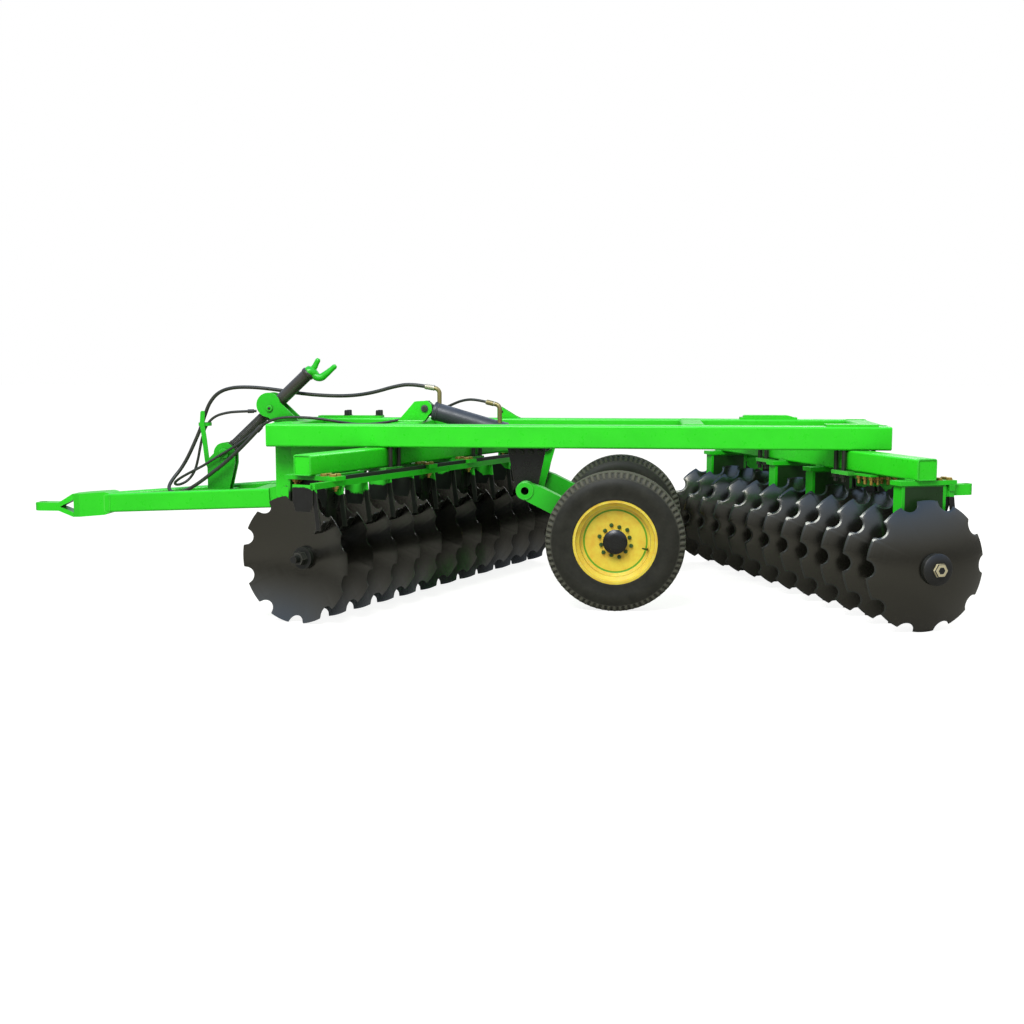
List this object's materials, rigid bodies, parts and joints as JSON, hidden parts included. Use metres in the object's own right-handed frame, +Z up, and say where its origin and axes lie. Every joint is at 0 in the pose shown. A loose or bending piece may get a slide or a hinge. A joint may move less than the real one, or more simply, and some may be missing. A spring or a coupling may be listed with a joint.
{
  "type": "disc harrow",
  "caption": "Offset disc harrow: two angled gangs of notched discs under a box frame, with a drawbar, a pair of lift wheels and a hydraulic cylinder.",
  "frame": {"origin": "centre of the hitch pin hole at the front of the drawbar, half way up its plates, 460 mm above the ground", "axes": "+X forward in the direction of travel, +Y to the left, +Z up"},
  "size_m": [5.397, 2.6909, 1.4081],
  "materials": {
    "green_paint": "gloss",
    "disc_steel": "satin",
    "spool_iron": "matt",
    "zinc_bolts": "satin",
    "black_paint": "gloss",
    "yellow_rim": "gloss",
    "tyre_rubber": "matt",
    "chrome_rod": "polished",
    "hose_rubber": "matt",
    "grey_paint": "satin",
    "bright_steel": "satin"
  },
  "bodies": {
    "frame": {"beam_top_plates": "green_paint", "cylinder_bracket": "green_paint", "drawbar_hinge_brackets": "green_paint", "drawbar_hinge_pins": "bright_steel", "front_cross_beam": "green_paint", "front_gang_beam": "green_paint", "front_gang_bearings": "spool_iron", "front_gang_hangers": "green_paint", "front_scraper_bar": "green_paint", "front_scrapers": "green_paint", "gang_clamps": "zinc_bolts", "inner_rear_cross_beam": "green_paint", "lift_hose": "hose_rubber", "middle_cross_beam": "green_paint", "rear_cross_beam": "green_paint", "rear_gang_beam": "green_paint", "rear_gang_bearings": "spool_iron", "rear_gang_hangers": "green_paint", "rear_scraper_bar": "green_paint", "rear_scrapers": "green_paint", "return_hose": "hose_rubber", "rockshaft_hangers": "grey_paint", "side_beam_left": "green_paint", "side_beam_right": "green_paint", "tow_eye_arm": "green_paint", "transport_lock_bracket": "green_paint", "trunnion_ears": "green_paint"},
    "drawbar": {"drawbar_rail_left": "green_paint", "drawbar_rail_right": "green_paint", "drawbar_ties": "green_paint", "hitch_head": "green_paint", "screw_tower": "green_paint", "hose_stand": "green_paint", "lift_hose_coupler": "bright_steel", "return_hose_coupler": "bright_steel"},
    "levelling_tube": {"levelling_tube": "black_paint", "levelling_handle": "green_paint"},
    "levelling_screw": {"levelling_screw": "black_paint"},
    "wheel_lift": {"rockshaft": "green_paint", "wheel_arms": "green_paint", "lift_lever": "green_paint", "stub_axles": "bright_steel"},
    "cylinder_barrel": {"cylinder_barrel": "black_paint", "cylinder_fittings": "bright_steel"},
    "cylinder_rod": {"cylinder_rod": "chrome_rod"},
    "left_wheel": {"left_tyre": "tyre_rubber", "left_rim": "yellow_rim", "left_hub_cap": "black_paint"},
    "right_wheel": {"right_tyre": "tyre_rubber", "right_rim": "yellow_rim", "right_hub_cap": "black_paint"},
    "front_gang": {"front_discs": "disc_steel", "front_gang_axle": "spool_iron"},
    "rear_gang": {"rear_discs": "disc_steel", "rear_gang_axle": "spool_iron"}
  },
  "joints": [
    {"name": "drawbar_pitch", "type": "hinge", "parent": "frame", "child": "drawbar", "pos_m": [-1.611, 0, 0.136], "axis": [0, 1, 0], "range_deg": [-8, 8], "deforming": ["lift_hose", "return_hose"]},
    {"name": "levelling_tube_swing", "type": "hinge", "parent": "frame", "child": "levelling_tube", "pos_m": [-1.444, 0, 0.602], "axis": [0, 1, 0], "range_deg": [-4.2, 4.2]},
    {"name": "levelling_screw_slide", "type": "slide", "parent": "levelling_tube", "child": "levelling_screw", "axis": [0.7319, 0, -0.6814], "range_m": [-0.064, 0.064]},
    {"name": "wheel_lift", "type": "hinge", "parent": "frame", "child": "wheel_lift", "pos_m": [-2.999, 0, 0.168], "axis": [0, 1, 0], "range_deg": [-20, 28]},
    {"name": "cylinder_swing", "type": "hinge", "parent": "frame", "child": "cylinder_barrel", "pos_m": [-2.367, 0, 0.604], "axis": [0, 1, 0], "range_deg": [-0.4, 0.3]},
    {"name": "rod_slide", "type": "slide", "parent": "cylinder_barrel", "child": "cylinder_rod", "axis": [-0.9601, 0, -0.2797], "range_m": [-0.116, 0.083]},
    {"name": "left_wheel_spin", "type": "hinge", "parent": "wheel_lift", "child": "left_wheel", "pos_m": [-3.504, 0.626, -0.083], "axis": [0, 1, 0], "continuous": true},
    {"name": "right_wheel_spin", "type": "hinge", "parent": "wheel_lift", "child": "right_wheel", "pos_m": [-3.504, -0.626, -0.083], "axis": [0, 1, 0], "continuous": true},
    {"name": "front_gang_spin", "type": "hinge", "parent": "frame", "child": "front_gang", "pos_m": [-2.355, 0.013, -0.13], "axis": [0.3746, 0.9272, 0], "continuous": true},
    {"name": "rear_gang_spin", "type": "hinge", "parent": "frame", "child": "rear_gang", "pos_m": [-4.588, -0.073, -0.13], "axis": [-0.3633, 0.9317, 0], "continuous": true}
  ],
  "couplings": [
    {"joint": "levelling_tube_swing", "follows": "drawbar_pitch", "ratio": 0.5069},
    {"joint": "levelling_screw_slide", "follows": "drawbar_pitch", "m_per_rad": 0.4545},
    {"joint": "cylinder_swing", "follows": "wheel_lift", "ratio": -0.0127},
    {"joint": "rod_slide", "follows": "wheel_lift", "m_per_rad": -0.2344}
  ]
}
